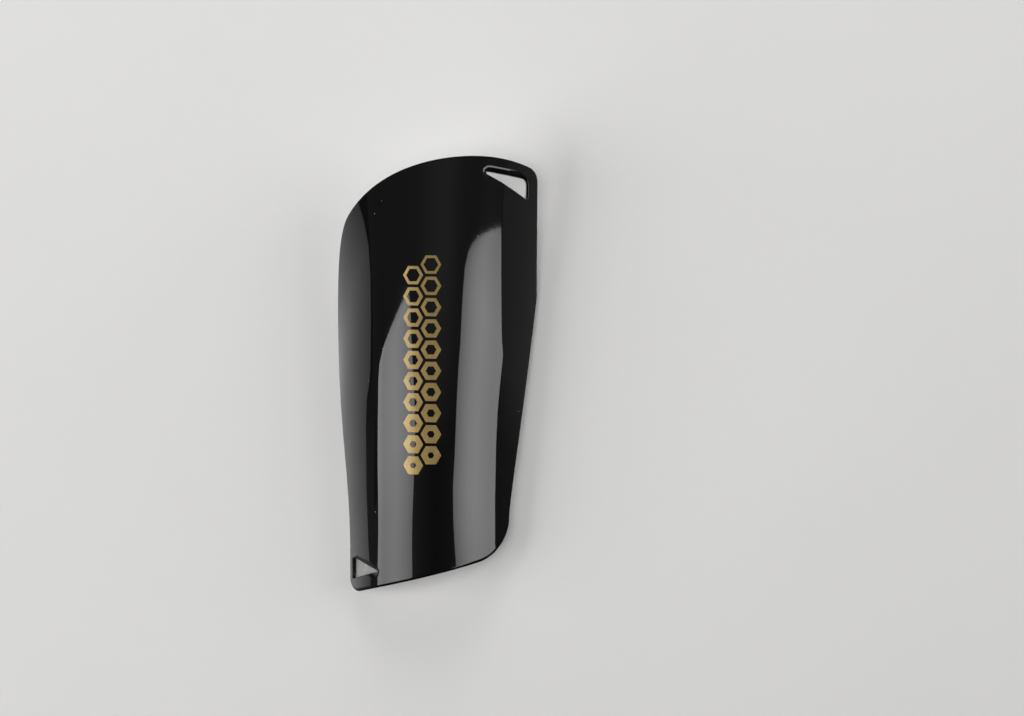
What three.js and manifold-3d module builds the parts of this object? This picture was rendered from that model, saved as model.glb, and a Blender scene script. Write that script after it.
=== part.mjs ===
// A slip-in soccer shin guard: a bent plastic shell bonded over a foam liner, with two strap slots.
// Millimetres. It lies on its long rims, hollow side down: +Y runs to the wide end, +Z is up.
// Each sheet is drawn flat (s across, y along, n out of the face), then bent round the shin.

import * as THREE from 'three';
import { ConvexHull } from 'three/addons/math/ConvexHull.js';
import { mergeVertices } from 'three/addons/utils/BufferGeometryUtils.js';
import Module from 'manifold-3d';

// Sheets
const SHELL_THICKNESS = 2.5;
const FOAM_THICKNESS = 5;
const BOND_GAP = 0.3;
const FOAM_INSET = 0.8;
const FOAM_SLOT_EASE = 0.8;

// Bend round the shin: one radius along most of the guard, opening out towards the wide end
const BEND_RADIUS = 61;
const FLARE = 12;
const FLARE_LENGTH = 105;

// Flat outline: each side is one soft S between its widest and its narrowest point
const RIGHT_SIDE = { wide: { s: 63.6, y: 36.9 }, narrow: { s: 46.7, y: -73.4 }, handle: 0.084 };
const LEFT_SIDE = { wide: { s: -58.9, y: 19 }, narrow: { s: -44.9, y: -94.6 }, handle: 0.403 };

// Flat outline: the wide end, with a long round on the left and a slotted corner on the right
const CROWN_S = 28.3;
const CROWN_Y = 104.7;
const LONG_ROUND = 105.3;
const LONG_ROUND_SWEEP = THREE.MathUtils.degToRad(43.5);
const SHOULDER_HANDLE_TOP = 16.7;
const SHOULDER_HANDLE_SIDE = 12.6;
const SHORT_ROUND = 81.8;
const WIDE_CORNER_SIDE_S = 61.9;
const WIDE_CORNER = 8;

// Flat outline: the narrow end, a straight slanted edge between a big and a small corner
const NARROW_SLOPE = THREE.MathUtils.degToRad(15);
const BIG_CORNER = 22.7;
const SMALL_CORNER = 6;

// Strap slots on the flat sheet: base beside the edge, tip towards the middle, and each corner's round
const SLOTS = [
  {
    base: { s: 55.9, low: 83.3, high: 93.6 },
    tip: { s: 31.9, y: 97.6 },
    rounds: { low: 0.8, high: 4, tip: 0.9 },
  },
  {
    base: { s: -42.1, low: -107.6, high: -96.6 },
    tip: { s: -23.9, y: -101.5 },
    rounds: { low: 0.8, high: 0.8, tip: 0.7 },
  },
];
const SLOT_REACH = 12;

// Facets
const COLUMN_COUNT = 20;
const ROW_COUNT = 14;
const CURVE_STEPS = 9;
const SLOT_CORNER_STEPS = 4;
const WELD = 1e-4;
const SMALLEST_AREA = 1e-4;

const FINISH = {
  shell: { color: 0x141416, roughness: 0.12, metalness: 0 },
  foam: { color: 0xe4e4df, roughness: 0.9, metalness: 0 },
};

const wasm = await Module();
wasm.setup();

const OUTLINE = flatOutline();
const EXTENT = new THREE.Box2().setFromPoints(OUTLINE);
const COLUMNS = stations(EXTENT.min.x, EXTENT.max.x, COLUMN_COUNT);
const ROWS = stations(EXTENT.min.y, EXTENT.max.y, ROW_COUNT);

// Flat outline

function sideCurve(path, from, to, share) {
  const handle = share * (to.y - from.y);
  path.bezierCurveTo(from.s, from.y + handle, to.s, to.y - handle, to.s, to.y);
}

function flatOutline() {
  const { wide: rightWide, narrow: rightNarrow, handle: rightHandle } = RIGHT_SIDE;
  const { wide: leftWide, narrow: leftNarrow, handle: leftHandle } = LEFT_SIDE;

  const bigS = rightNarrow.s - BIG_CORNER;
  const smallS = leftNarrow.s + SMALL_CORNER;
  const drop = (bigS - smallS) * Math.tan(NARROW_SLOPE);
  const step = (BIG_CORNER - SMALL_CORNER) / Math.cos(NARROW_SLOPE);
  const smallY = rightNarrow.y - drop - step;
  const edgeAngle = NARROW_SLOPE - Math.PI / 2;

  const cornerS = WIDE_CORNER_SIDE_S - WIDE_CORNER;
  const cornerAngle = Math.acos((cornerS - CROWN_S) / (SHORT_ROUND - WIDE_CORNER));
  const cornerY = CROWN_Y - SHORT_ROUND + (SHORT_ROUND - WIDE_CORNER) * Math.sin(cornerAngle);

  const shoulderAngle = Math.PI / 2 + LONG_ROUND_SWEEP;
  const shoulderS = CROWN_S + LONG_ROUND * Math.cos(shoulderAngle);
  const shoulderY = CROWN_Y - LONG_ROUND + LONG_ROUND * Math.sin(shoulderAngle);

  const path = new THREE.Path();
  path.moveTo(rightNarrow.s, rightNarrow.y);
  sideCurve(path, rightNarrow, rightWide, rightHandle);
  path.lineTo(WIDE_CORNER_SIDE_S, cornerY);
  path.absarc(cornerS, cornerY, WIDE_CORNER, 0, cornerAngle);
  path.absarc(CROWN_S, CROWN_Y - SHORT_ROUND, SHORT_ROUND, cornerAngle, Math.PI / 2);
  path.absarc(CROWN_S, CROWN_Y - LONG_ROUND, LONG_ROUND, Math.PI / 2, shoulderAngle);
  path.bezierCurveTo(
    shoulderS - SHOULDER_HANDLE_TOP * Math.sin(shoulderAngle),
    shoulderY + SHOULDER_HANDLE_TOP * Math.cos(shoulderAngle),
    leftWide.s,
    leftWide.y + SHOULDER_HANDLE_SIDE,
    leftWide.s,
    leftWide.y,
  );
  sideCurve(path, leftWide, leftNarrow, leftHandle);
  path.lineTo(leftNarrow.s, smallY);
  path.absarc(smallS, smallY, SMALL_CORNER, -Math.PI, edgeAngle);
  path.absarc(bigS, rightNarrow.y, BIG_CORNER, edgeAngle, 0);
  return withoutRepeats(path.getPoints(CURVE_STEPS));
}

function withoutRepeats(loop) {
  return loop.filter((p, i) => p.distanceTo(loop[(i + 1) % loop.length]) > WELD);
}

// Every point moves in along the mean normal of its two edges
function insetLoop(loop, distance) {
  return loop.map((p, i) => {
    const before = loop[(i + loop.length - 1) % loop.length];
    const after = loop[(i + 1) % loop.length];
    const along = after.clone().sub(before).normalize();
    return new THREE.Vector2(p.x - along.y * distance, p.y + along.x * distance);
  });
}

// Cutting the flat sheet into cells that stay flat when it bends

// Evenly spaced cuts that begin and end half a step outside the sheet
function stations(low, high, count) {
  const step = (high - low) / count;
  return Array.from({ length: count + 2 }, (_, i) => low + step * (i - 0.5));
}

function splitAt(loop, axis, cuts) {
  return loop.flatMap((p, i) => {
    const q = loop[(i + 1) % loop.length];
    const crossed = cuts
      .map((cut) => ({ cut, t: (cut - p[axis]) / (q[axis] - p[axis]) }))
      .filter(({ t }) => t > 0 && t < 1)
      .sort((a, b) => a.t - b.t)
      .map(({ cut, t }) => {
        const point = p.clone().lerp(q, t);
        point[axis] = cut;
        return point;
      });
    return [p, ...crossed];
  });
}

// The part of a loop on one side of a straight cut: sign +1 keeps what lies above the limit
function keepSide(loop, axis, limit, sign) {
  const inside = (p) => sign * (p[axis] - limit) >= 0;
  return loop.flatMap((p, i) => {
    const q = loop[(i + 1) % loop.length];
    const kept = inside(p) ? [p] : [];
    const t = (limit - p[axis]) / (q[axis] - p[axis]);
    if (t > 0 && t < 1) {
      const point = p.clone().lerp(q, t);
      point[axis] = limit;
      kept.push(point);
    }
    return kept;
  });
}

function between(loop, axis, low, high) {
  return keepSide(keepSide(loop, axis, low, 1), axis, high, -1);
}

function cellTriangles(loop) {
  const triangles = [];
  for (let i = 0; i + 1 < COLUMNS.length; i += 1) {
    const strip = between(loop, 'x', COLUMNS[i], COLUMNS[i + 1]);
    for (let j = 0; j + 1 < ROWS.length; j += 1) {
      const cell = withoutRepeats(between(strip, 'y', ROWS[j], ROWS[j + 1]));
      if (cell.length < 3 || Math.abs(THREE.ShapeUtils.area(cell)) < SMALLEST_AREA) continue;
      for (const corners of THREE.ShapeUtils.triangulateShape(cell, [])) {
        triangles.push(corners.map((corner) => cell[corner]));
      }
    }
  }
  return triangles;
}

// Bending

function bendRadius(y) {
  const reach = Math.max(0, y / FLARE_LENGTH);
  return BEND_RADIUS + FLARE * reach * reach;
}

function onArc(s, y, n) {
  const radius = bendRadius(y);
  const angle = s / radius;
  return new THREE.Vector3(
    (radius + n) * Math.sin(angle),
    y,
    (radius + n) * Math.cos(angle) - radius,
  );
}

// Between two columns a sheet stays flat
function bend(s, y, n) {
  const next = Math.max(1, COLUMNS.findIndex((column) => column >= s));
  const [left, right] = [COLUMNS[next - 1], COLUMNS[next]];
  return onArc(left, y, n).lerp(onArc(right, y, n), (s - left) / (right - left));
}

// A closed sheet between two offsets from the shell's outer face
function bentSheet(outline, top, bottom) {
  const loop = splitAt(splitAt(outline, 'x', COLUMNS), 'y', ROWS);
  const points = [];
  for (const [a, b, c] of cellTriangles(loop)) {
    points.push(bend(a.x, a.y, top), bend(b.x, b.y, top), bend(c.x, c.y, top));
    points.push(bend(c.x, c.y, bottom), bend(b.x, b.y, bottom), bend(a.x, a.y, bottom));
  }
  loop.forEach((p, i) => {
    const q = loop[(i + 1) % loop.length];
    const [low, next] = [bend(p.x, p.y, bottom), bend(q.x, q.y, bottom)];
    const [high, nextHigh] = [bend(p.x, p.y, top), bend(q.x, q.y, top)];
    points.push(low, next, nextHigh, low, nextHigh, high);
  });
  return mergeVertices(new THREE.BufferGeometry().setFromPoints(points), WELD);
}

// Strap slots

function roundedTriangle(corners) {
  const path = new THREE.Path();
  corners.forEach(({ at, round }, i) => {
    const before = corners[(i + 2) % 3].at.clone().sub(at).normalize();
    const after = corners[(i + 1) % 3].at.clone().sub(at).normalize();
    const reach = round / Math.tan(before.angleTo(after) / 2);
    const start = at.clone().addScaledVector(before, reach);
    const end = at.clone().addScaledVector(after, reach);
    if (i === 0) path.moveTo(start.x, start.y);
    else path.lineTo(start.x, start.y);
    path.quadraticCurveTo(at.x, at.y, end.x, end.y);
  });
  return withoutRepeats(path.getPoints(SLOT_CORNER_STEPS));
}

// A straight punch that stands square to the sheet at the slot's middle, eased outwards all round
function slotPunch({ base, tip, rounds }, ease) {
  const middle = new THREE.Vector2((base.s * 2 + tip.s) / 3, (base.low + base.high + tip.y) / 3);
  const corners = [
    { at: new THREE.Vector2(base.s, base.low).sub(middle), round: rounds.low },
    { at: new THREE.Vector2(base.s, base.high).sub(middle), round: rounds.high },
    { at: new THREE.Vector2(tip.s, tip.y).sub(middle), round: rounds.tip },
  ];
  const turnsLeft = base.s > tip.s;
  const loop = insetLoop(roundedTriangle(turnsLeft ? corners : corners.reverse()), -ease);
  const punch = new THREE.ExtrudeGeometry(new THREE.Shape(loop), {
    depth: 2 * SLOT_REACH,
    bevelEnabled: false,
  });
  const seat = onArc(middle.x, middle.y, 0);
  const angle = middle.x / bendRadius(middle.y);
  punch.translate(0, 0, -SLOT_REACH);
  punch.rotateY(angle);
  punch.translate(seat.x, seat.y, seat.z);
  punch.deleteAttribute('normal');
  punch.deleteAttribute('uv');
  return mergeVertices(punch, WELD);
}

function solidOf(geometry) {
  return new wasm.Manifold(
    new wasm.Mesh({
      numProp: 3,
      vertProperties: new Float32Array(geometry.attributes.position.array),
      triVerts: new Uint32Array(geometry.index.array),
    }),
  );
}

function geometryOf(solid) {
  const mesh = solid.getMesh();
  const geometry = new THREE.BufferGeometry();
  geometry.setAttribute('position', new THREE.BufferAttribute(mesh.vertProperties, 3));
  geometry.setIndex(new THREE.BufferAttribute(mesh.triVerts, 1));
  geometry.computeVertexNormals();
  return geometry;
}

function slottedSheet(name, { inset, slotEase, top, bottom, finish }) {
  const punches = SLOTS.map((slot) => solidOf(slotPunch(slot, slotEase)));
  const sheet = solidOf(bentSheet(insetLoop(OUTLINE, inset), top, bottom));
  const cut = punches.reduce((solid, punch) => solid.subtract(punch), sheet);
  const mesh = new THREE.Mesh(geometryOf(cut), new THREE.MeshStandardMaterial(finish));
  mesh.name = name;
  return mesh;
}

// Resting: the guard stands on the hull face below its middle, with the box's bottom centre as origin

function restingFace(hull, middle) {
  return hull.faces.find((face) => {
    const [a, b, c] = [face.edge.prev, face.edge, face.edge.next].map((edge) => {
      const { x, y } = edge.head().point;
      return new THREE.Vector3(x, y, 0);
    });
    const below = new THREE.Vector3(middle.x, middle.y, 0);
    return face.normal.z < 0 && THREE.Triangle.containsPoint(below, a, b, c);
  });
}

function layDown(guard) {
  const box = new THREE.Box3().setFromObject(guard);
  const middle = box.getCenter(new THREE.Vector3());
  const face = restingFace(new ConvexHull().setFromObject(guard), middle);
  guard.quaternion.setFromUnitVectors(face.normal, new THREE.Vector3(0, 0, -1));
  guard.updateMatrixWorld(true);
  box.setFromObject(guard, true);
  box.getCenter(middle);
  guard.position.set(-middle.x, -middle.y, -box.min.z);
  guard.updateMatrixWorld(true);
}

const foamTop = -SHELL_THICKNESS - BOND_GAP;
const SHEETS = {
  shell: { inset: 0, slotEase: 0, top: 0, bottom: -SHELL_THICKNESS, finish: FINISH.shell },
  foam_pad: {
    inset: FOAM_INSET,
    slotEase: FOAM_SLOT_EASE,
    top: foamTop,
    bottom: foamTop - FOAM_THICKNESS,
    finish: FINISH.foam,
  },
};

const guard = new THREE.Group();
for (const [name, sheet] of Object.entries(SHEETS)) guard.add(slottedSheet(name, sheet));
layDown(guard);

export default guard;
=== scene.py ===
import math

import bpy
import numpy as np
from bpy.props import FloatProperty, FloatVectorProperty, IntProperty, PointerProperty
from mathutils import Matrix, Quaternion, Vector
from mathutils.geometry import delaunay_2d_cdt


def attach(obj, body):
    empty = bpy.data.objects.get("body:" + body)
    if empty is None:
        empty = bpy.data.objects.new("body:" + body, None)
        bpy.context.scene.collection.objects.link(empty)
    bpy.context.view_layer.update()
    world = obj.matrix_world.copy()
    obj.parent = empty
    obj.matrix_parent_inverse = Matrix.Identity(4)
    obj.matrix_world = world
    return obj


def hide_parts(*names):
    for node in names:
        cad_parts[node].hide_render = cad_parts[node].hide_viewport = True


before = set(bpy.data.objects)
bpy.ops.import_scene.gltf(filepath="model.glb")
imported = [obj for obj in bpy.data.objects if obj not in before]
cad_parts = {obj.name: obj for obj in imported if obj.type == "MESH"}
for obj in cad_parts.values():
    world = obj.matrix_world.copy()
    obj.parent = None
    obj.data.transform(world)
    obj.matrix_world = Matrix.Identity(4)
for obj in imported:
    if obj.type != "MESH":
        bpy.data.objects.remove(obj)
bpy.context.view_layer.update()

bl_info = {
    "name": "Shin guard",
    "version": (1, 0, 0),
    "blender": (4, 5, 0),
    "location": "3D View > Sidebar > Shin guard",
    "description": "Builds a slip-in soccer shin guard, with foam pad and gold print, on a floor",
    "category": "Add Mesh",
}

MM = 0.001

# Flat outline of the sheet in millimetres: s runs round the leg, y up it
RIGHT_WIDE, RIGHT_NARROW, RIGHT_SHARE = (63.6, 36.9), (46.7, -73.4), 0.084
LEFT_WIDE, LEFT_NARROW, LEFT_SHARE = (-58.9, 19.0), (-44.9, -94.6), 0.403
CROWN_S, CROWN_Y = 28.3, 104.7
LONG_ROUND, LONG_ROUND_SWEEP, SHORT_ROUND = 105.3, math.radians(43.5), 81.8
SHOULDER_HANDLE_TOP, SHOULDER_HANDLE_SIDE = 16.7, 12.6
WIDE_CORNER_SIDE_S, WIDE_CORNER = 61.9, 8.0
NARROW_SLOPE, BIG_CORNER, SMALL_CORNER = math.radians(15), 22.7, 6.0
OUTLINE_STEP = 0.8

# Points on one arc, one cubic and one rounded corner, before a loop is evened out
ARC_POINTS, CUBIC_POINTS, CORNER_POINTS = 90, 120, 24

# Strap slots: low and high corner of the base beside the bar, then the tip, each with its round
SLOTS = (
    ((55.9, 83.3, 0.8), (55.9, 93.6, 4.0), (31.9, 97.6, 0.9)),
    ((-42.1, -107.6, 0.8), (-42.1, -96.6, 0.8), (-23.9, -101.5, 0.7)),
)
SLOT_STEP = 0.3

# Where rounds and cuts ease in, each a start and a span: the narrow end and a slot's upper side by
# how far the edge faces up the guard, the others by the way from a slot's base (0) to its tip (1)
NARROW_END, UPPER_SIDE = (0.1, 0.6), (-0.5, 1.0)
OFF_BASE, TIP, FOAM_BAR = (0.0, 0.25), (0.6, 0.3), (0.0, 0.2)
SLOT_SPREAD = 1.5

# Foam beside the slots' bars: how far each cut leans back at its lower face (a negative one leans
# into the slot), its lower round there, and the round under the shell on every cut
FOAM_LEANS = (1.6, -1.0)
FOAM_BAR_ROUND, FOAM_TOP_ROUND = 0.1, 0.2

# Bend of the sheet, and how the guard lies on the floor
FLARE_LENGTH = 105.0
LIE_TURN = Quaternion((0.9992074, 0.0395285, -0.0047029, 0.0))
LIE_SHIFT = (-2.20011, 3.61002, 29.90705)

# Slow waves left by moulding, in millimetres to a radian, and how those across sway along the guard
WAVE_ACROSS, WAVE_ALONG, WAVE_START = 11.0, 29.0, 1.1
SWAY, SWAY_ALONG = 0.9, 37.0

# Mesh of the sheet: rows round an upper rim, and which of them a lower rim keeps
RIM_ROWS, LOWER_RIM_EVERY = 10, 3

# Width of the flat run beside a rim on each sheet, and its rows as shares of that
SHELL_RUN, FOAM_RUN, RUN_SHARES = 0.35, 0.14, (1.0, 0.45)

# Spacing of the faces' grid, how far it keeps from a rim as a share of that, when two of its points
# count as one, and the turn from which an edge is drawn sharp
FACE_SPACING, RIM_CLEAR, SAME_PLACE = 1.5, 0.55, 1e-7
SHARP_ANGLE = math.radians(50)

# Points round one ring of the print
RING_POINTS = 30

# Floor: its darkest mottle, where it fades out, and the patch that the gloss sees, in metres
FLOOR_MOTTLE, FADE_START, FADE_END = 0.985, 0.45, 1.0
PATCH_WIDTH, PATCH_DEPTH, PATCH_HEIGHT = 0.1, 0.2, -0.001
BOARD_POINTS = 9

# Soft panels: angles across and along the guard in degrees, distance and side in metres, brightness
SOFT_PANELS = {
    "overhead": (0, 0, 1.2, 0.8, 2.3),
    "left_soft": (-64, -10, 2.2, 1.4, 5.9),
    "right_soft": (72, 12, 2.2, 1.4, 4.2),
    "back_soft": (0, 75, 1.4, 0.9, 4.8),
}

# Mirror cards: points for each of their rows, and from end to end; then what the gloss sees beyond
CARD_ROW_POINTS, CARD_END_POINTS = 12, 60
GLOSS_SURROUND = (0.006, 0.006, 0.0062)

# Camera: picture in pixels, sensor in millimetres, height aimed at in metres, and how far that
# point lies left of the picture's middle and below it, in pixels
PICTURE_WIDTH, SENSOR_WIDTH = 1024, 36.0
AIM_HEIGHT, AIM_LEFT, AIM_BELOW = 0.018, 83.0, 20.0

# Colour sockets of a Mix node: the two that go in, and the one that comes out
MIX_LOW, MIX_HIGH, MIX_OUT = 6, 7, 2


def length(name, description, default):
    """A length property in metres from a default in millimetres."""
    return FloatProperty(
        name=name, description=description, default=default * MM, min=0.0,
        precision=5, subtype="DISTANCE", unit="LENGTH",
    )


def colour(name, description, default):
    """A linear colour property."""
    return FloatVectorProperty(
        name=name, description=description, default=default, size=3, min=0.0, max=1.0,
        subtype="COLOR",
    )


class ShellSettings(bpy.types.PropertyGroup):
    bend_radius: length("Bend radius", "Radius of the shell's outer face round the leg", 61.0)
    flare: length("Flare", "Radius gained at the wide end", 12.0)
    thickness: length("Thickness", "Thickness of the plastic", 2.5)
    edge_round: length("Edge round", "Round along the outline on the outer face", 0.9)
    end_round: length("End round", "Round along the narrow end on the outer face", 1.5)
    slot_round: length("Slot round", "Depth of the round on a slot's upper rim", 2.0)
    bar_round: length("Bar round", "Round of a slot's rim along the bar beside it", 0.15)
    inner_round: length("Inner round", "Round along the edges of the inner face", 0.3)
    waviness: length("Waviness", "Height of the slow waves left by moulding", 0.03)
    tint: colour("Plastic", "Colour of the plastic", (0.0045, 0.0045, 0.005))
    dust_tint: colour("Dust", "Colour of dust on the gloss", (0.22, 0.21, 0.20))


class FoamSettings(bpy.types.PropertyGroup):
    thickness: length("Thickness", "Thickness of the foam", 5.0)
    glue_line: length("Glue line", "Gap between shell and foam", 0.3)
    inset: length("Inset", "How far the foam stays inside the shell's edge", 0.8)
    slot_ease: length("Slot ease", "How far the foam stays back from a slot", 0.8)
    edge_round: length("Edge round", "Round along the die-cut edges", 0.45)
    tint: colour("Foam", "Light colour of the foam", (0.90, 0.90, 0.885))
    # The darker foam colour between the cells is painted shade in the hollows that the bump sinks
    # there
    shade: colour("Foam shade", "Darker colour between the cells", (0.79, 0.79, 0.775))


class PrintSettings(bpy.types.PropertyGroup):
    cell: length("Cell", "Centre to corner of one cell of the honeycomb", 6.0)
    gap: length("Gap", "Space between two neighbouring rings", 1.5)
    thin: length("Thin stroke", "Stroke of the rings at the wide end", 1.3)
    thick: length("Thick stroke", "Stroke of the rings at the narrow end", 3.1)
    rows: IntProperty(
        name="Rows", description="Cells in each of the two columns", default=10, min=1, max=14,
    )
    middle: length("Middle", "Place of the print's middle along the guard", 2.5)
    aside: length("Aside", "Place of the print's middle to the right of the crest", 1.7)
    lift: length("Lift", "Clearance over the shell", 0.02)
    ink: length("Ink", "Thickness of the ink", 0.05)
    light: colour("Light gold", "Lighter colour of the ink", (0.77, 0.555, 0.22))
    deep: colour("Deep gold", "Darker colour of the ink", (0.535, 0.36, 0.118))


class StageSettings(bpy.types.PropertyGroup):
    floor_size: FloatProperty(
        name="Floor size", description="Side of the floor", default=9.0, min=1.0,
        subtype="DISTANCE", unit="LENGTH",
    )
    floor_tint: colour("Floor", "Colour of the floor", (0.80, 0.795, 0.785))
    surround: colour("Surround", "Colour of what lies beyond the floor", (0.66, 0.66, 0.65))
    distance: FloatProperty(
        name="Distance", description="Camera to guard", default=0.85, min=0.2,
        subtype="DISTANCE", unit="LENGTH",
    )
    lean: FloatProperty(
        name="Lean", description="Camera's height over the floor as an angle",
        default=math.radians(75), subtype="ANGLE", unit="ROTATION",
    )
    roll: FloatProperty(
        name="Roll", description="Turn of the picture", default=math.radians(1.2),
        subtype="ANGLE", unit="ROTATION",
    )
    lens: FloatProperty(
        name="Lens", description="Focal length in millimetres", default=60.1, min=20.0,
    )


class GuardSettings(bpy.types.PropertyGroup):
    shell: PointerProperty(type=ShellSettings)
    foam: PointerProperty(type=FoamSettings)
    mark: PointerProperty(type=PrintSettings)
    stage: PointerProperty(type=StageSettings)


# Flat curves

def ease(value, start, span):
    """Smooth step: 3 t squared less 2 t cubed, t = (value - start) / span held between 0 and 1."""
    t = np.clip((value - start) / span, 0, 1)
    return t * t * (3 - 2 * t)


def arc(centre_s, centre_y, radius, start, end):
    """Points on a circle: the centre plus radius times (cos a, sin a), a even from start to end."""
    a = np.linspace(start, end, ARC_POINTS)
    return np.stack([centre_s + radius * np.cos(a), centre_y + radius * np.sin(a)], 1)


def bezier(a, b, c, d):
    """A cubic Bezier: the four points weighted by the Bernstein polynomials of t from 0 to 1."""
    t = np.linspace(0, 1, CUBIC_POINTS)[:, None]
    a, b, c, d = map(np.asarray, (a, b, c, d))
    return (1 - t) ** 3 * a + 3 * t * (1 - t) ** 2 * b + 3 * t * t * (1 - t) * c + t ** 3 * d


def side_curve(a, b, share):
    """A cubic from a to b that leaves and arrives along y, with handles of a share of the rise."""
    handle = share * (b[1] - a[1])
    return bezier(a, (a[0], a[1] + handle), (b[0], b[1] - handle), b)


def even_loop(points, step):
    """The closed loop through points at even steps: linear in its running length."""
    closed = np.vstack([points, points[:1]])
    run = np.concatenate([[0.0], np.cumsum(np.hypot(*np.diff(closed, axis=0).T))])
    at = np.linspace(0, run[-1], int(round(run[-1] / step)), endpoint=False)
    return np.stack([np.interp(at, run, closed[:, 0]), np.interp(at, run, closed[:, 1])], 1)


def flat_outline():
    """The sheet's outline, anticlockwise: S-curved sides, a crown of two arcs with a shoulder, and
    a slanting narrow end between a big and a small corner."""
    big_s, small_s = RIGHT_NARROW[0] - BIG_CORNER, LEFT_NARROW[0] + SMALL_CORNER
    slant = (big_s - small_s) * math.tan(NARROW_SLOPE)
    drop = slant + (BIG_CORNER - SMALL_CORNER) / math.cos(NARROW_SLOPE)
    small_y = RIGHT_NARROW[1] - drop
    edge = NARROW_SLOPE - math.pi / 2
    corner_s = WIDE_CORNER_SIDE_S - WIDE_CORNER
    corner = math.acos((corner_s - CROWN_S) / (SHORT_ROUND - WIDE_CORNER))
    corner_y = CROWN_Y - SHORT_ROUND + (SHORT_ROUND - WIDE_CORNER) * math.sin(corner)
    turn = math.pi / 2 + LONG_ROUND_SWEEP
    shoulder = (
        CROWN_S + LONG_ROUND * math.cos(turn),
        CROWN_Y - LONG_ROUND + LONG_ROUND * math.sin(turn),
    )
    leaving = (
        shoulder[0] - SHOULDER_HANDLE_TOP * math.sin(turn),
        shoulder[1] + SHOULDER_HANDLE_TOP * math.cos(turn),
    )
    arriving = (LEFT_WIDE[0], LEFT_WIDE[1] + SHOULDER_HANDLE_SIDE)
    return np.vstack([
        side_curve(RIGHT_NARROW, RIGHT_WIDE, RIGHT_SHARE),
        arc(corner_s, corner_y, WIDE_CORNER, 0, corner),
        arc(CROWN_S, CROWN_Y - SHORT_ROUND, SHORT_ROUND, corner, math.pi / 2),
        arc(CROWN_S, CROWN_Y - LONG_ROUND, LONG_ROUND, math.pi / 2, turn),
        bezier(shoulder, leaving, arriving, LEFT_WIDE),
        side_curve(LEFT_WIDE, LEFT_NARROW, LEFT_SHARE),
        arc(small_s, small_y, SMALL_CORNER, -math.pi, edge),
        arc(big_s, RIGHT_NARROW[1], BIG_CORNER, edge, 0),
    ])


def round_corner(before, corner, after, size):
    """A quadratic over a corner, from the tangent point before it to the one after it: the three
    points weighted by the Bernstein polynomials of t from 0 to 1."""
    back = (before - corner) / np.linalg.norm(before - corner)
    on = (after - corner) / np.linalg.norm(after - corner)
    reach = size / math.tan(math.acos(back @ on) / 2)
    start, end = corner + reach * back, corner + reach * on
    t = np.linspace(0, 1, CORNER_POINTS)[:, None]
    return (1 - t) ** 2 * start + 2 * t * (1 - t) * corner + t * t * end


def left_of(loop):
    """Unit normals to the left of a closed loop: the chord between both neighbours, turned by 90
    degrees."""
    along = np.roll(loop, -1, 0) - np.roll(loop, 1, 0)
    across = np.stack([-along[:, 1], along[:, 0]], 1)
    return across / np.linalg.norm(across, axis=1, keepdims=True)


def outline_edge():
    """The sheet's outer edge, with its normals into the sheet."""
    loop = even_loop(flat_outline(), OUTLINE_STEP)
    return {"loop": loop, "into": left_of(loop), "middle": None}


def slot_edge(corners):
    """A slot's edge, clockwise and about the slot's middle, with its normals into the sheet, and
    how far each point is from the base towards the tip, from 0 to 1."""
    middle = np.mean(corners, 0)[0]
    around = np.array(corners) - (middle, 0, 0)
    base, _, tip = around[:, 0]
    if base > tip:
        around = around[::-1]
    at, size = around[:, :2], around[:, 2]
    rounded = [round_corner(at[i - 1], at[i], at[(i + 1) % 3], size[i]) for i in range(3)]
    loop = even_loop(np.vstack(rounded), SLOT_STEP)
    towards_tip = np.clip((loop[:, 0] - base) / (tip - base), 0, 1)
    return {"loop": loop, "into": left_of(loop), "middle": middle, "towards_tip": towards_tip}


# The bent sheet

def bend_radius(y, shell):
    """Radius of the outer face: the bend radius, plus the flare times the square of the share of
    the wide half."""
    return (shell.bend_radius + shell.flare * np.maximum(0, y / FLARE_LENGTH) ** 2) / MM


def bend(s, y, n, shell):
    """The sheet in space, in metres: at flat place (s, y) and height n over the outer face the
    point is ((R + n) sin(s / R), y, (R + n) cos(s / R) - R), n with the product of two slow sine
    waves added, then laid on the floor."""
    radius = bend_radius(y, shell)
    sway = SWAY * np.sin(y / SWAY_ALONG)
    wave = np.sin(s / WAVE_ACROSS + sway) * np.sin(y / WAVE_ALONG + WAVE_START)
    n = n + shell.waviness / MM * wave
    angle, out = s / radius, radius + n
    points = np.stack([out * np.sin(angle), y + 0 * n, out * np.cos(angle) - radius], -1)
    return (points @ np.array(LIE_TURN.to_matrix()).T + LIE_SHIFT) * MM


def edge_rows(edge, d, n, shell):
    """Flat places of an edge's rows, moved d into the sheet at height n. The walls of the outline
    run square to the sheet; a slot is punched straight, so the place u from its middle becomes
    s = middle + R asin(u / (R + n)) at height n."""
    flat = edge["loop"] + d[..., None] * edge["into"]
    s, y = flat[..., 0], flat[..., 1]
    if edge["middle"] is not None:
        radius = bend_radius(y, shell)
        s = edge["middle"] + radius * np.arcsin(s / (radius + n))
    return s, y


def edge_profile(top, bottom, top_round, bottom_round, run, count, spread=1.0):
    """Rows (d, n) over an edge of count points, from the upper face to the lower one: a flat run,
    a quarter ellipse top_round deep and spread times as wide, the wall, a quarter circle of
    bottom_round and a flat run. Both rounds may change along the edge."""
    above, below = np.broadcast_to(top_round, count), np.broadcast_to(bottom_round, count)
    level = np.zeros(count)
    turn = np.linspace(0, math.pi / 2, RIM_ROWS)[:, None]
    tight = turn[::LOWER_RIM_EVERY]
    flat = run * np.array(RUN_SHARES)[:, None]
    d = np.vstack([
        spread * above + flat, spread * above * (1 - np.sin(turn)),
        below * (1 - np.cos(tight)), below + flat[::-1],
    ])
    n = np.vstack([
        top + level + 0 * flat, top - above * (1 - np.cos(turn)),
        bottom + below * (1 - np.sin(tight)), bottom + level + 0 * flat,
    ])
    return d, n


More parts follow.
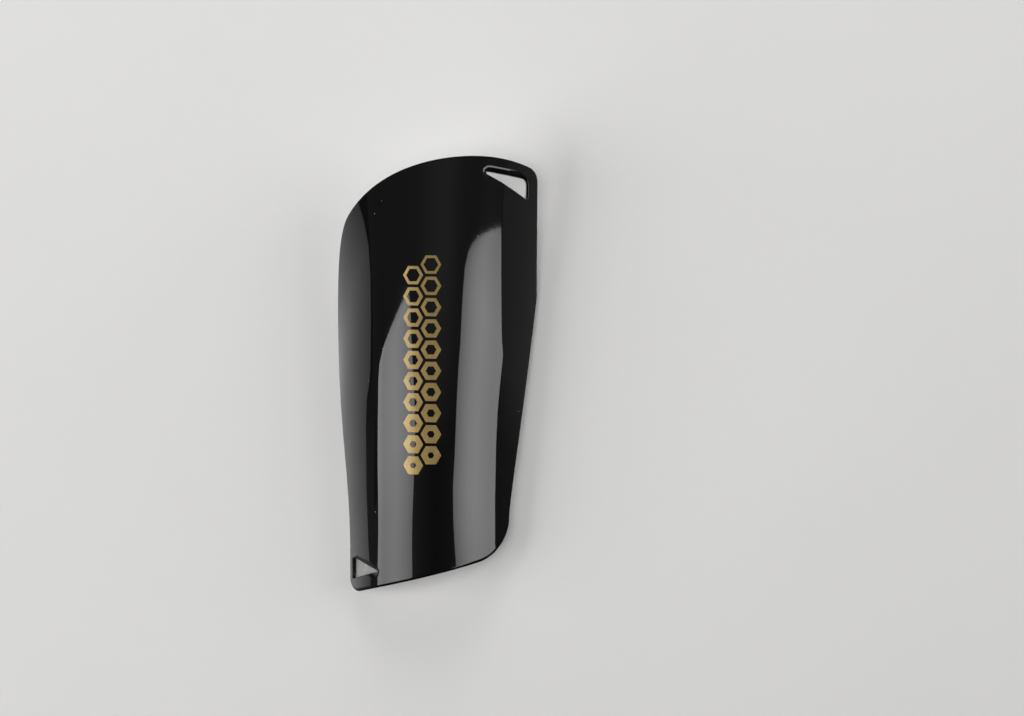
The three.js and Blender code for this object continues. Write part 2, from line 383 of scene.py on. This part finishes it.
def inside(points, loops):
    """Even-odd rule: a point lies inside where a ray along s crosses the loops an odd number of
    times."""
    s, y = points[:, :1], points[:, 1:]
    odd = np.zeros(len(points), bool)
    for a in loops:
        b = np.roll(a, -1, 0)
        spans = (a[:, 1] > y) != (b[:, 1] > y)
        rise = np.where(b[:, 1] == a[:, 1], 1.0, b[:, 1] - a[:, 1])
        crossing = a[:, 0] + (b[:, 0] - a[:, 0]) * (y - a[:, 1]) / rise
        odd ^= (spans & (s < crossing)).sum(1) % 2 == 1
    return odd


def fill(loops, spacing):
    """A face between loops: a square grid of flat places inside them, joined to them by Delaunay
    triangles. Gives the grid's places and the triangles, numbered over the loops' points and then
    the grid's."""
    rim = np.vstack(loops)
    low, high = rim.min(0), rim.max(0)
    s, y = np.meshgrid(np.arange(low[0], high[0], spacing), np.arange(low[1], high[1], spacing))
    grid = np.stack([s.ravel(), y.ravel()], 1)
    grid = grid[inside(grid, loops)]
    near = ((grid[:, None] - rim) ** 2).sum(2).min(1)
    grid = grid[near > (RIM_CLEAR * spacing) ** 2]
    points = np.vstack([rim, grid])
    ends = np.cumsum([len(loop) for loop in loops])
    rings = np.split(np.arange(ends[-1]), ends[:-1])
    outer, holes = rings[0].tolist(), [ring[::-1].tolist() for ring in rings[1:]]
    made = delaunay_2d_cdt(points.tolist(), [], [outer, *holes], 1, SAME_PLACE)
    if len(made[0]) != len(points):
        raise RuntimeError("the face's points don't stay apart")
    owners = np.fromiter(map(len, made[5]), int)
    return grid, np.array(made[2])[owners == 1]


def strip(first, rows, columns):
    """Triangles of a grid of rows and columns whose columns close on themselves."""
    i, j = np.meshgrid(np.arange(rows - 1), np.arange(columns), indexing="ij")
    k = (j + 1) % columns
    corners = (i, j), (i + 1, j), (i + 1, k), (i, k)
    a, b, c, d = (first + row * columns + column for row, column in corners)
    return np.stack([a, b, c, a, c, d], -1).reshape(-1, 3)


def sheet_body(edges, profiles, top, bottom, spacing, shell):
    """A closed sheet: each edge's profile carried along its loop, and both faces filled between the
    edges."""
    points, faces, upper, lower, flat_upper, flat_lower = [], [], [], [], [], []
    count = 0
    for edge, (d, n) in zip(edges, profiles):
        s, y = edge_rows(edge, d, n, shell)
        rows, columns = s.shape
        points.append(bend(s, y, n, shell).reshape(-1, 3))
        faces.append(strip(count, rows, columns))
        upper.append(np.arange(columns) + count)
        lower.append(np.arange(columns) + count + (rows - 1) * columns)
        flat_upper.append(np.stack([s[0], y[0]], 1))
        flat_lower.append(np.stack([s[-1], y[-1]], 1))
        count += rows * columns
    sides = (flat_upper, upper, top, 1), (flat_lower, lower, bottom, -1)
    for loops, numbers, height, flip in sides:
        grid, triangles = fill(loops, spacing)
        numbers = np.concatenate([*numbers, np.arange(len(grid)) + count])
        points.append(bend(grid[:, 0], grid[:, 1], np.full(len(grid), height), shell))
        faces.append(numbers[triangles][:, ::flip])
        count += len(grid)
    return np.vstack(points), np.vstack(faces)


def make_piece(name, points, faces, material):
    """A smooth mesh object at the origin from arrays of points and triangles, riding on the guard's
    one body."""
    mesh = bpy.data.meshes.new(name)
    mesh.vertices.add(len(points))
    mesh.vertices.foreach_set("co", points.astype(np.float32).ravel())
    mesh.loops.add(faces.size)
    mesh.loops.foreach_set("vertex_index", faces.astype(np.int32).ravel())
    mesh.polygons.add(len(faces))
    mesh.polygons.foreach_set("loop_start", np.arange(0, faces.size, 3, dtype=np.int32))
    mesh.update(calc_edges=True)
    if mesh.validate():
        raise RuntimeError(f"{name} has faces that don't hold")
    mesh.shade_smooth()
    mesh.set_sharp_from_angle(angle=SHARP_ANGLE)
    mesh.materials.append(material)
    piece = bpy.data.objects.new(name, mesh)
    bpy.context.scene.collection.objects.link(piece)
    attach(piece, "root")
    return piece


# Materials

def put(tree, kind, inputs=None, **settings):
    """A node with its settings. An input given as a socket is linked, and any other is set."""
    made = tree.nodes.new(kind)
    for name, value in settings.items():
        setattr(made, name, value)
    for name, value in (inputs or {}).items():
        if isinstance(value, bpy.types.NodeSocket):
            tree.links.new(value, made.inputs[name])
        else:
            made.inputs[name].default_value = value
    return made


def calculate(tree, operation, a, b, **settings):
    """A Math node on two sockets or numbers; gives its output."""
    return put(tree, "ShaderNodeMath", {0: a, 1: b}, operation=operation, **settings).outputs[0]


def object_place(tree):
    """The Object coordinates."""
    return put(tree, "ShaderNodeTexCoord").outputs["Object"]


def node_group(name, inputs, output):
    """An empty shader node group with float inputs and one float output; gives it with its two end
    nodes."""
    group = bpy.data.node_groups.new(name, "ShaderNodeTree")
    for label, value in inputs.items():
        socket = group.interface.new_socket(label, in_out="INPUT", socket_type="NodeSocketFloat")
        socket.default_value = value
    group.interface.new_socket(output, in_out="OUTPUT", socket_type="NodeSocketFloat")
    return group, put(group, "NodeGroupInput"), put(group, "NodeGroupOutput")


def mottle_group():
    """Soft mottling: a noise over the object, spread from Low to High."""
    if "Mottle" in bpy.data.node_groups:
        return bpy.data.node_groups["Mottle"]
    group, given, out = node_group("Mottle", {"Scale": 50.0, "Low": 0.0, "High": 1.0}, "Value")
    noise = put(group, "ShaderNodeTexNoise", {
        "Vector": object_place(group), "Scale": given.outputs["Scale"], "Detail": 4.0,
    })
    spread = put(group, "ShaderNodeMapRange", {
        "Value": noise.outputs["Fac"], "From Min": 0.3, "From Max": 0.7,
        "To Min": given.outputs["Low"], "To Max": given.outputs["High"],
    })
    group.links.new(spread.outputs["Result"], out.inputs["Value"])
    return group


def specks_group():
    """Sparse specks: small discs round the cells' centres of a Voronoi pattern, kept where the
    cell's own random number is under Share."""
    if "Specks" in bpy.data.node_groups:
        return bpy.data.node_groups["Specks"]
    group, given, out = node_group("Specks", {"Scale": 150.0, "Size": 0.04, "Share": 0.3}, "Mask")
    cells = put(group, "ShaderNodeTexVoronoi", {
        "Vector": object_place(group), "Scale": given.outputs["Scale"],
    })
    disc = calculate(group, "LESS_THAN", cells.outputs["Distance"], given.outputs["Size"])
    number = put(group, "ShaderNodeSeparateColor", {"Color": cells.outputs["Color"]})
    chosen = calculate(group, "LESS_THAN", number.outputs["Red"], given.outputs["Share"])
    group.links.new(calculate(group, "MULTIPLY", disc, chosen), out.inputs["Mask"])
    return group


def use_group(tree, group, **values):
    """The group placed in a material with its own values; gives its one output."""
    made = put(tree, "ShaderNodeGroup", node_tree=group)
    for name, value in values.items():
        made.inputs[name].default_value = value
    return made.outputs[0]


def empty_tree(owner):
    """The node tree of a material or world, emptied."""
    owner.use_nodes = True
    owner.node_tree.nodes.clear()
    return owner.node_tree


def new_material(name):
    """A material with only a Principled BSDF and its output; gives it, its tree and the BSDF."""
    material = bpy.data.materials.new(name)
    tree = empty_tree(material)
    shader = put(tree, "ShaderNodeBsdfPrincipled")
    put(tree, "ShaderNodeOutputMaterial", {"Surface": shader.outputs["BSDF"]})
    return material, tree, shader


def connect(tree, shader, **sockets):
    """Links outputs to the shader's inputs, whose names have their spaces as underlines."""
    for name, socket in sockets.items():
        tree.links.new(socket, shader.inputs[name.replace("_", " ")])


def mix_colour(tree, factor, low, high):
    """Low where the factor is 0 and high where it is 1, each a socket or a colour with alpha."""
    mixed = put(tree, "ShaderNodeMix", {
        "Factor": factor, MIX_LOW: low, MIX_HIGH: high,
    }, data_type="RGBA")
    return mixed.outputs[MIX_OUT]


def opaque(tint):
    """A colour with full alpha."""
    return (*tint, 1)


def gloss_plastic(shell):
    """Black gloss plastic: a clear mirror finish with faint smudges, fine moulding streaks along
    the guard, a slight orange peel and a few specks of dust."""
    material, tree, shader = new_material("black gloss plastic")
    shader.inputs["IOR"].default_value = 1.8
    dust = use_group(tree, specks_group(), Scale=230.0, Size=0.05, Share=0.10)
    smudge = use_group(tree, mottle_group(), Scale=38.0, Low=0.012, High=0.035)
    rough = calculate(tree, "ADD", smudge, calculate(tree, "MULTIPLY", dust, 0.5))
    place = object_place(tree)
    drawn = put(tree, "ShaderNodeMapping", {"Vector": place, "Scale": (260.0, 5.0, 60.0)})
    streak = put(tree, "ShaderNodeTexNoise", {
        "Vector": drawn.outputs["Vector"], "Scale": 1.0, "Detail": 2.0,
    })
    lines = put(tree, "ShaderNodeBump", {
        "Height": streak.outputs["Fac"], "Strength": 0.5, "Distance": 4e-6,
    })
    peel = put(tree, "ShaderNodeTexNoise", {"Vector": place, "Scale": 420.0, "Detail": 1.0})
    skin = put(tree, "ShaderNodeBump", {
        "Height": peel.outputs["Fac"], "Strength": 0.4, "Distance": 2e-6,
        "Normal": lines.outputs["Normal"],
    })
    tint = mix_colour(tree, dust, opaque(shell.tint), opaque(shell.dust_tint))
    connect(tree, shader, Base_Color=tint, Roughness=rough, Normal=skin.outputs["Normal"])
    return material


def white_foam(foam):
    """Closed-cell foam: fine round cells whose borders sink in the bump and carry painted shade in
    those hollows, and a slow random mottling of its tone.
    """
    material, tree, shader = new_material("white closed-cell foam")
    shader.inputs["Specular IOR Level"].default_value = 0.25
    cells = put(tree, "ShaderNodeTexVoronoi", {
        "Vector": object_place(tree), "Scale": 1700.0,
    }, feature="SMOOTH_F1")
    cloud = use_group(tree, mottle_group(), Scale=60.0, Low=0.55, High=1.0)
    # Cell centres stand high in the bump and their borders sink; the same mask darkens the borders
    # with painted shade in those hollows
    cell_height_and_shade = put(tree, "ShaderNodeMapRange", {
        "Value": cells.outputs["Distance"],
        "From Min": 0.15, "From Max": 0.75, "To Min": 1.0, "To Max": 0.45,
    }).outputs["Result"]
    tone = calculate(tree, "MULTIPLY", cloud, cell_height_and_shade)
    rough = use_group(tree, mottle_group(), Scale=900.0, Low=0.78, High=0.95)
    bump = put(tree, "ShaderNodeBump", {"Height": cell_height_and_shade, "Strength": 0.55, "Distance": 1.2e-4})
    tint = mix_colour(tree, tone, opaque(foam.shade), opaque(foam.tint))
    connect(tree, shader, Base_Color=tint, Roughness=rough, Normal=bump.outputs["Normal"])
    return material


def gold_ink(mark):
    """Gold screen ink: metal flake with a fine grain, cloudy between a light and a deep gold, under
    a clear gloss."""
    material, tree, shader = new_material("gold screen ink")
    shader.inputs["Metallic"].default_value = 0.8
    shader.inputs["Coat Weight"].default_value = 1.0
    shader.inputs["Coat Roughness"].default_value = 0.12
    cloud = use_group(tree, mottle_group(), Scale=130.0, Low=0.15, High=0.75)
    grain = use_group(tree, mottle_group(), Scale=2600.0, Low=-0.25, High=0.3)
    tone = calculate(tree, "ADD", cloud, grain, use_clamp=True)
    rough = use_group(tree, mottle_group(), Scale=1500.0, Low=0.30, High=0.44)
    bump = put(tree, "ShaderNodeBump", {"Height": grain, "Strength": 0.25, "Distance": 1.5e-5})
    tint = mix_colour(tree, tone, opaque(mark.deep), opaque(mark.light))
    connect(tree, shader, Base_Color=tint, Roughness=rough, Normal=bump.outputs["Normal"])
    return material


def pale_floor(stage):
    """Matte pale board with the faintest mottling. Far from the guard it fades to black and glows
    in the surround's even tone instead."""
    material, tree, shader = new_material("pale board")
    shader.inputs["Specular IOR Level"].default_value = 0.2
    shader.inputs["Roughness"].default_value = 0.8
    shader.inputs["Emission Color"].default_value = opaque(stage.surround)
    cloud = use_group(tree, mottle_group(), Scale=9.0, Low=0.0, High=1.0)
    deep = tuple(FLOOR_MOTTLE * c for c in stage.floor_tint)
    near = mix_colour(tree, cloud, opaque(deep), opaque(stage.floor_tint))
    away = put(tree, "ShaderNodeVectorMath", {0: object_place(tree)}, operation="LENGTH")
    fade = put(tree, "ShaderNodeMapRange", {
        "Value": away.outputs["Value"], "From Min": FADE_START, "From Max": FADE_END,
    }, interpolation_type="SMOOTHSTEP").outputs["Result"]
    board = mix_colour(tree, fade, near, opaque((0, 0, 0)))
    connect(tree, shader, Base_Color=board, Emission_Strength=fade)
    return material


# Pieces

class GUARD_OT_shell(bpy.types.Operator):
    """Build the bent plastic shell with its two strap slots"""

    bl_idname = "shin_guard.shell"
    bl_label = "Shell"

    def execute(self, context):
        shell = context.scene.shin_guard.shell
        top, bottom = 0.0, -shell.thickness / MM
        edges = [outline_edge(), *map(slot_edge, SLOTS)]
        profiles = []
        for edge in edges:
            upwards = edge["into"][:, 1]
            if edge["middle"] is None:
                least, most, spread = shell.edge_round, shell.end_round, 1.0
                share = ease(upwards, *NARROW_END)
            else:
                least, most, spread = shell.bar_round, shell.slot_round, SLOT_SPREAD
                upper = ease(upwards, *UPPER_SIDE) * ease(edge["towards_tip"], *OFF_BASE)
                share = np.maximum(upper, ease(edge["towards_tip"], *TIP))
            rim, inner = (least + (most - least) * share) / MM, shell.inner_round / MM
            count = len(edge["loop"])
            profiles.append(edge_profile(top, bottom, rim, inner, SHELL_RUN, count, spread))
        points, faces = sheet_body(edges, profiles, top, bottom, FACE_SPACING, shell)
        piece = make_piece("guard_shell", points, faces, gloss_plastic(shell))
        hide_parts("shell")
        return {"FINISHED"}


class GUARD_OT_foam(bpy.types.Operator):
    """Build the foam pad glued inside the shell"""

    bl_idname = "shin_guard.foam"
    bl_label = "Foam pad"

    def execute(self, context):
        settings = context.scene.shin_guard
        shell, foam = settings.shell, settings.foam
        top = -(shell.thickness + foam.glue_line) / MM
        bottom = top - foam.thickness / MM
        edges = [outline_edge(), *map(slot_edge, SLOTS)]
        profiles = []
        for edge, lean in zip(edges, (0.0, *FOAM_LEANS)):
            back, bar, rim = foam.inset / MM, 0.0, foam.edge_round / MM
            if edge["middle"] is not None:
                back = foam.slot_ease / MM
                bar = 1 - ease(edge["towards_tip"], *FOAM_BAR)
                rim = rim + (FOAM_BAR_ROUND - rim) * bar
            count = len(edge["loop"])
            d, n = edge_profile(top, bottom, FOAM_TOP_ROUND, rim, FOAM_RUN, count)
            profiles.append((d + back + lean * bar * (top - n) / (top - bottom), n))
        points, faces = sheet_body(edges, profiles, top, bottom, FACE_SPACING, shell)
        piece = make_piece("foam_liner", points, faces, white_foam(foam))
        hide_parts("foam_pad")
        return {"FINISHED"}


class GUARD_OT_print(bpy.types.Operator):
    """Print the gold honeycomb on the shell"""

    bl_idname = "shin_guard.mark"
    bl_label = "Gold print"

    def execute(self, context):
        settings = context.scene.shin_guard
        points, faces = honeycomb(settings.mark, settings.shell)
        make_piece("gold_print", points, faces, gold_ink(settings.mark))
        return {"FINISHED"}


def honeycomb(mark, shell):
    """Two staggered columns of hexagon rings on the shell. A ring is a flat band of ink carried
    round a hexagon: its corners lie at multiples of 60 degrees, its sides are straight between
    them, and its stroke grows evenly from the wide end to the narrow one."""
    cell, rows = mark.cell / MM, mark.rows
    row, column = np.meshgrid(np.arange(rows), np.arange(2), indexing="ij")
    pitch = math.sqrt(3) * cell
    centre_s = mark.aside / MM + ((column - 0.5) * 1.5 * cell).ravel()
    centre_y = (mark.middle / MM + (row - rows / 2 + 0.25 + 0.5 * column) * pitch).ravel()
    share = (centre_y.max() - centre_y) / np.ptp(centre_y)
    stroke = (mark.thin + (mark.thick - mark.thin) * share) / MM
    corner = np.arange(7)
    turn = corner * math.pi / 3
    along = np.linspace(0, 6, RING_POINTS, endpoint=False)
    path = np.stack([np.interp(along, corner, at) for at in (np.cos(turn), np.sin(turn))], 1)
    outer = cell - mark.gap / MM / math.sqrt(3)
    width = stroke * 2 / math.sqrt(3)
    low, high = mark.lift / MM, (mark.lift + mark.ink) / MM
    across = np.array([0.0, 0.0, 0.5, 1.0, 1.0, 0.5])
    height = np.array([low, high, high, high, low, low])
    size = outer - width[:, None] * across
    s = centre_s[:, None, None] + size[:, :, None] * path[:, 0]
    y = centre_y[:, None, None] + size[:, :, None] * path[:, 1]
    n = np.broadcast_to(height[None, :, None], s.shape)
    points = bend(s, y, n, shell).reshape(-1, 3)
    turns, columns = len(across), len(path)
    rings = len(centre_s)
    k, i, j = np.meshgrid(*map(np.arange, (rings, turns, columns)), indexing="ij")
    base = k * turns * columns
    next_i, next_j = (i + 1) % turns, (j + 1) % columns
    a, b = base + i * columns + j, base + i * columns + next_j
    c, d = base + next_i * columns + next_j, base + next_i * columns + j
    return points, np.stack([a, b, c, a, c, d], -1).reshape(-1, 3)


# Stage

def looking(place, right, back):
    """The matrix of a light or camera at a place, from its own right and the way behind it."""
    turn = Matrix((right, back.cross(right), back)).transposed().to_4x4()
    return Matrix.Translation(place) @ turn


def soft_light(name, across, along, distance, side, brightness):
    """A square soft panel, evenly bright, seen from the guard at an angle across it and one along
    it, in degrees, and facing it. It lights the floor and the matte finishes."""
    data = bpy.data.lights.new(name, "AREA")
    data.size = side
    data.energy = brightness * math.pi * side * side
    light = bpy.data.objects.new(name, data)
    across, along = math.radians(across), math.radians(along)
    back = Vector((
        math.sin(across) * math.cos(along), math.sin(along), math.cos(across) * math.cos(along),
    ))
    right = Vector((0, 1, 0)).cross(back).normalized()
    light.matrix_world = looking(back * distance, right, back.normalized())
    light.visible_camera = light.visible_glossy = False
    bpy.context.scene.collection.objects.link(light)


def stage_sheet(name, points, material):
    """A sheet of the stage from a grid of points, with a square between each four of them."""
    rows, columns = points.shape[:2]
    i, j = np.meshgrid(np.arange(rows - 1), np.arange(columns - 1), indexing="ij")
    a = i * columns + j
    quads = np.stack([a, a + 1, a + columns + 1, a + columns], -1).reshape(-1, 4)
    mesh = bpy.data.meshes.new(name)
    mesh.from_pydata(points.reshape(-1, 3).tolist(), [], quads.tolist())
    mesh.materials.append(material)
    sheet = bpy.data.objects.new(name, mesh)
    bpy.context.scene.collection.objects.link(sheet)
    return sheet


def glow_material(name):
    """White light as strong as the card's own glow, but dark to rays off a matte surface."""
    material = bpy.data.materials.new(name)
    tree = empty_tree(material)
    glow = put(tree, "ShaderNodeAttribute", attribute_name="glow").outputs["Fac"]
    path = put(tree, "ShaderNodeLightPath")
    straight = calculate(tree, "LESS_THAN", path.outputs["Diffuse Depth"], 0.5)
    strength = calculate(tree, "MULTIPLY", glow, straight)
    shader = put(tree, "ShaderNodeEmission", {"Strength": strength})
    put(tree, "ShaderNodeOutputMaterial", {"Surface": shader.outputs["Emission"]})
    return material


def mirror_card(name, rows, glow, reach=2.2):
    """A glowing card that only the gloss mirrors, on a sphere round the guard: reach times
    (sin a cos b, sin b, cos a cos b), with a across the guard and b along it. Each row gives b,
    the card's two ends in a, all in degrees, and its share of the glow, and between the rows these
    are linear; glow gives the brightness from end to end."""
    v = np.linspace(0, len(rows) - 1, CARD_ROW_POINTS * len(rows))[:, None]
    u = np.linspace(0, 1, CARD_END_POINTS)[None, :]
    columns = np.array(rows).T
    along, first, last, share = (np.interp(v, np.arange(len(rows)), column) for column in columns)
    a, b = np.radians(first + (last - first) * u), np.radians(along + 0 * u)
    points = reach * np.stack([np.sin(a) * np.cos(b), np.sin(b), np.cos(a) * np.cos(b)], -1)
    card = stage_sheet(name, points, glow_material(name))
    shine = share * np.interp(u, np.linspace(0, 1, len(glow)), glow)
    shown = card.data.attributes.new("glow", "FLOAT", "POINT")
    shown.data.foreach_set("value", shine.astype(np.float32).ravel())
    card.visible_camera = card.visible_diffuse = card.visible_shadow = False


def light_panels():
    """The studio's light: four soft panels for the floor and the matte finishes, and the cards
    that the black gloss mirrors: two long panels, a low wall on the left, a dim one on the right,
    a ceiling that is nearly dark, and two dim cards low down between and beside the panels."""
    for name, placing in SOFT_PANELS.items():
        soft_light(name, *placing)
    mirror_card("right_panel", (
        (-2.84, 56.5, 57.2, 0.84), (-2.86, 49.9, 57.3, 0.84), (-2.9, 42.7, 57.6, 0.84),
        (-2.98, 36.8, 58.1, 0.85), (-3.18, 31.9, 58.8, 0.87), (-3.41, 29.1, 59.6, 0.89),
        (-3.98, 26.4, 61.5, 0.94), (-5.09, 25.4, 65.3, 1.03), (-5.28, 25.3, 66.7, 1.03),
        (-5.68, 25.0, 65.3, 1.02), (-6.83, 24.2, 63.1, 1.01), (-8.11, 22.2, 61.1, 1.0),
        (-9.54, 20.7, 59.8, 1.01), (-12.26, 18.8, 58.8, 1.02), (-13.59, 17.4, 59.0, 1.02),
        (-14.94, 17.8, 59.0, 0.96), (-16.18, 19.1, 59.0, 0.88), (-16.95, 20.6, 59.0, 0.86),
        (-18.5, 20.5, 40.0, 0.86), (-34.0, 20.5, 33.0, 0.86),
    ), (1.15, 1.75, 2.2, 2.35, 2.2, 2.0, 2.0))
    mirror_card("left_panel", (
        (-4.46, -28.4, -26.5, 1.0), (-4.6, -30.9, -25.9, 1.0), (-4.85, -35.5, -25.0, 1.01),
        (-5.0, -38.1, -24.9, 1.01), (-5.25, -42.9, -24.7, 1.01), (-5.44, -47.1, -24.5, 1.02),
        (-5.58, -51.4, -24.4, 1.02), (-5.68, -54.2, -24.3, 1.02), (-6.0, -58.5, -24.1, 1.03),
        (-6.6, -59.7, -23.9, 1.04), (-8.15, -60.5, -22.3, 1.06), (-9.46, -61.1, -20.7, 1.05),
        (-10.74, -61.3, -19.9, 1.05), (-11.72, -61.1, -20.3, 1.0), (-13.4, -61.0, -21.6, 0.94),
        (-14.78, -61.7, -22.8, 0.92), (-16.15, -62.1, -23.2, 0.9), (-17.5, -62.1, -22.9, 0.9),
        (-34.0, -62.0, -23.0, 0.9),
    ), (2.25, 1.88, 2.05, 2.2, 2.05, 1.75, 1.3))
    mirror_card("left_wall", (
        (40.0, -130.0, -80.0, 0.7), (0.86, -130.0, -76.7, 0.7), (0.06, -130.0, -71.8, 0.76),
        (-1.04, -130.0, -67.8, 0.93), (-2.16, -130.0, -67.2, 0.97), (-3.44, -130.0, -68.1, 0.92),
        (-5.44, -130.0, -69.7, 0.95), (-5.97, -130.0, -71.6, 1.0), (-6.43, -130.0, -74.7, 1.08),
        (-7.73, -130.0, -76.2, 1.17), (-10.41, -130.0, -76.2, 1.38), (-13.2, -130.0, -73.8, 1.6),
        (-13.99, -130.0, -72.3, 1.5), (-16.0, -130.0, -70.0, 0.7), (-22.0, -130.0, -70.0, 0.3),
        (-50.0, -130.0, -70.0, 0.2),
    ), (1.2, 1.02, 0.85, 0.6, 0.36))
    mirror_card("right_wall", (
        (40.0, 53.0, 120.0, 1.0), (-2.0, 55.8, 120.0, 1.0), (-2.8, 58.5, 120.0, 1.0),
        (-4.3, 63.0, 120.0, 1.0), (-5.4, 66.8, 120.0, 1.0), (-7.0, 64.0, 115.0, 0.65),
        (-9.0, 62.0, 110.0, 0.4), (-12.0, 58.0, 105.0, 0.3), (-50.0, 58.0, 105.0, 0.3),
    ), (0.1, 0.13, 0.18, 0.3), 2.3)
    mirror_card("ceiling", (
        (40.0, -66.0, 57.0, 1.15), (-4.0, -66.0, 57.0, 1.1), (-8.0, -66.0, 57.0, 0.8),
        (-12.0, -66.0, 57.0, 0.2),
    ), (0.04, 0.03, 0.035, 0.04, 0.045, 0.08, 0.1, 0.05, 0.04, 0.06, 0.045), 2.3)
    mirror_card("gap", (
        (-7.0, -26.0, 26.0, 0.0), (-12.0, -26.0, 26.0, 1.0), (-50.0, -26.0, 26.0, 1.0),
    ), (0.08, 0.055, 0.02, 0.005, 0.015, 0.03, 0.05), 2.4)
    mirror_card("left_gap", (
        (-5.0, -80.0, -58.0, 0.0), (-9.0, -80.0, -58.0, 1.0), (-50.0, -80.0, -58.0, 1.0),
    ), (0.06, 0.06), 2.4)


def surround(stage):
    """A pale surround behind the floor that gives the gloss next to nothing to mirror."""
    world = bpy.data.worlds.new("studio")
    tree = empty_tree(world)
    dim = put(tree, "ShaderNodeBackground", {"Color": opaque(GLOSS_SURROUND)})
    pale = put(tree, "ShaderNodeBackground", {"Color": opaque(stage.surround)})
    path = put(tree, "ShaderNodeLightPath")
    both = put(tree, "ShaderNodeMixShader", {
        0: path.outputs["Is Camera Ray"], 1: dim.outputs[0], 2: pale.outputs[0],
    })
    put(tree, "ShaderNodeOutputWorld", {"Surface": both.outputs[0]})
    bpy.context.scene.world = world


def add_camera(stage):
    """A camera over the guard, leaning to its right side, that frames it left of the picture's
    middle."""
    target = Vector((0, 0, AIM_HEIGHT))
    away = Vector((math.cos(stage.lean), 0, math.sin(stage.lean)))
    level = Vector((math.sin(stage.lean), 0, -math.cos(stage.lean)))
    up = Vector((0, 1, 0))
    right = level * math.cos(stage.roll) + up * math.sin(stage.roll)
    up = up * math.cos(stage.roll) - level * math.sin(stage.roll)
    picture = stage.lens / SENSOR_WIDTH * PICTURE_WIDTH
    back = (away - right * AIM_LEFT / picture - up * AIM_BELOW / picture).normalized()
    right = (right - back * right.dot(back)).normalized()
    data = bpy.data.cameras.new("camera")
    data.lens, data.sensor_width = stage.lens, SENSOR_WIDTH
    camera = bpy.data.objects.new("camera", data)
    camera.matrix_world = looking(target + away * stage.distance, right, back)
    bpy.context.scene.collection.objects.link(camera)
    bpy.context.scene.camera = camera


def board_sheet(name, width, depth, height, material):
    """A flat sheet of board over the stage's middle: (width u, depth v, height), with u and v even
    from minus a half to a half."""
    share = np.linspace(-0.5, 0.5, BOARD_POINTS)
    u, v = np.meshgrid(share, share)
    points = np.stack([width * u, depth * v, height + 0 * u], -1)
    return stage_sheet(name, points, material)


class GUARD_OT_stage(bpy.types.Operator):
    """Set the floor, the soft light and the camera"""

    bl_idname = "shin_guard.stage"
    bl_label = "Stage"

    def execute(self, context):
        stage = context.scene.shin_guard.stage
        board = pale_floor(stage)
        floor = board_sheet("floor", stage.floor_size, stage.floor_size, 0.0, board)
        floor.visible_glossy = False
        # The gloss sees no floor but for this patch, which keeps the cards out of the slots' walls:
        # it lies under the floor, unlit, so the gloss mirrors it dark in place of the shaded floor
        # under the guard
        patch = board_sheet("floor_underside", PATCH_WIDTH, PATCH_DEPTH, PATCH_HEIGHT, board)
        patch.visible_camera = patch.visible_diffuse = patch.visible_shadow = False
        light_panels()
        surround(stage)
        add_camera(stage)
        context.scene.view_settings.view_transform = "Standard"
        return {"FINISHED"}


class GUARD_PT_panel(bpy.types.Panel):
    """The guard's settings and building steps"""

    bl_idname = "GUARD_PT_panel"
    bl_label = "Shin guard"
    bl_space_type = "VIEW_3D"
    bl_region_type = "UI"
    bl_category = "Shin guard"

    def draw(self, context):
        settings = context.scene.shin_guard
        parts = settings.shell, settings.foam, settings.mark, settings.stage
        for part, step in zip(parts, STEPS):
            box = self.layout.box()
            for name in part.__annotations__:
                box.prop(part, name)
            box.operator(step.bl_idname)


STEPS = (GUARD_OT_shell, GUARD_OT_foam, GUARD_OT_print, GUARD_OT_stage)
CLASSES = (
    ShellSettings, FoamSettings, PrintSettings, StageSettings, GuardSettings,
    *STEPS, GUARD_PT_panel,
)


def register():
    for made in CLASSES:
        bpy.utils.register_class(made)
    bpy.types.Scene.shin_guard = PointerProperty(type=GuardSettings)


def unregister():
    del bpy.types.Scene.shin_guard
    for made in reversed(CLASSES):
        bpy.utils.unregister_class(made)


def main():
    register()
    bpy.ops.shin_guard.shell()
    bpy.ops.shin_guard.foam()
    bpy.ops.shin_guard.mark()
    bpy.ops.shin_guard.stage()


if __name__ == "__main__":
    main()
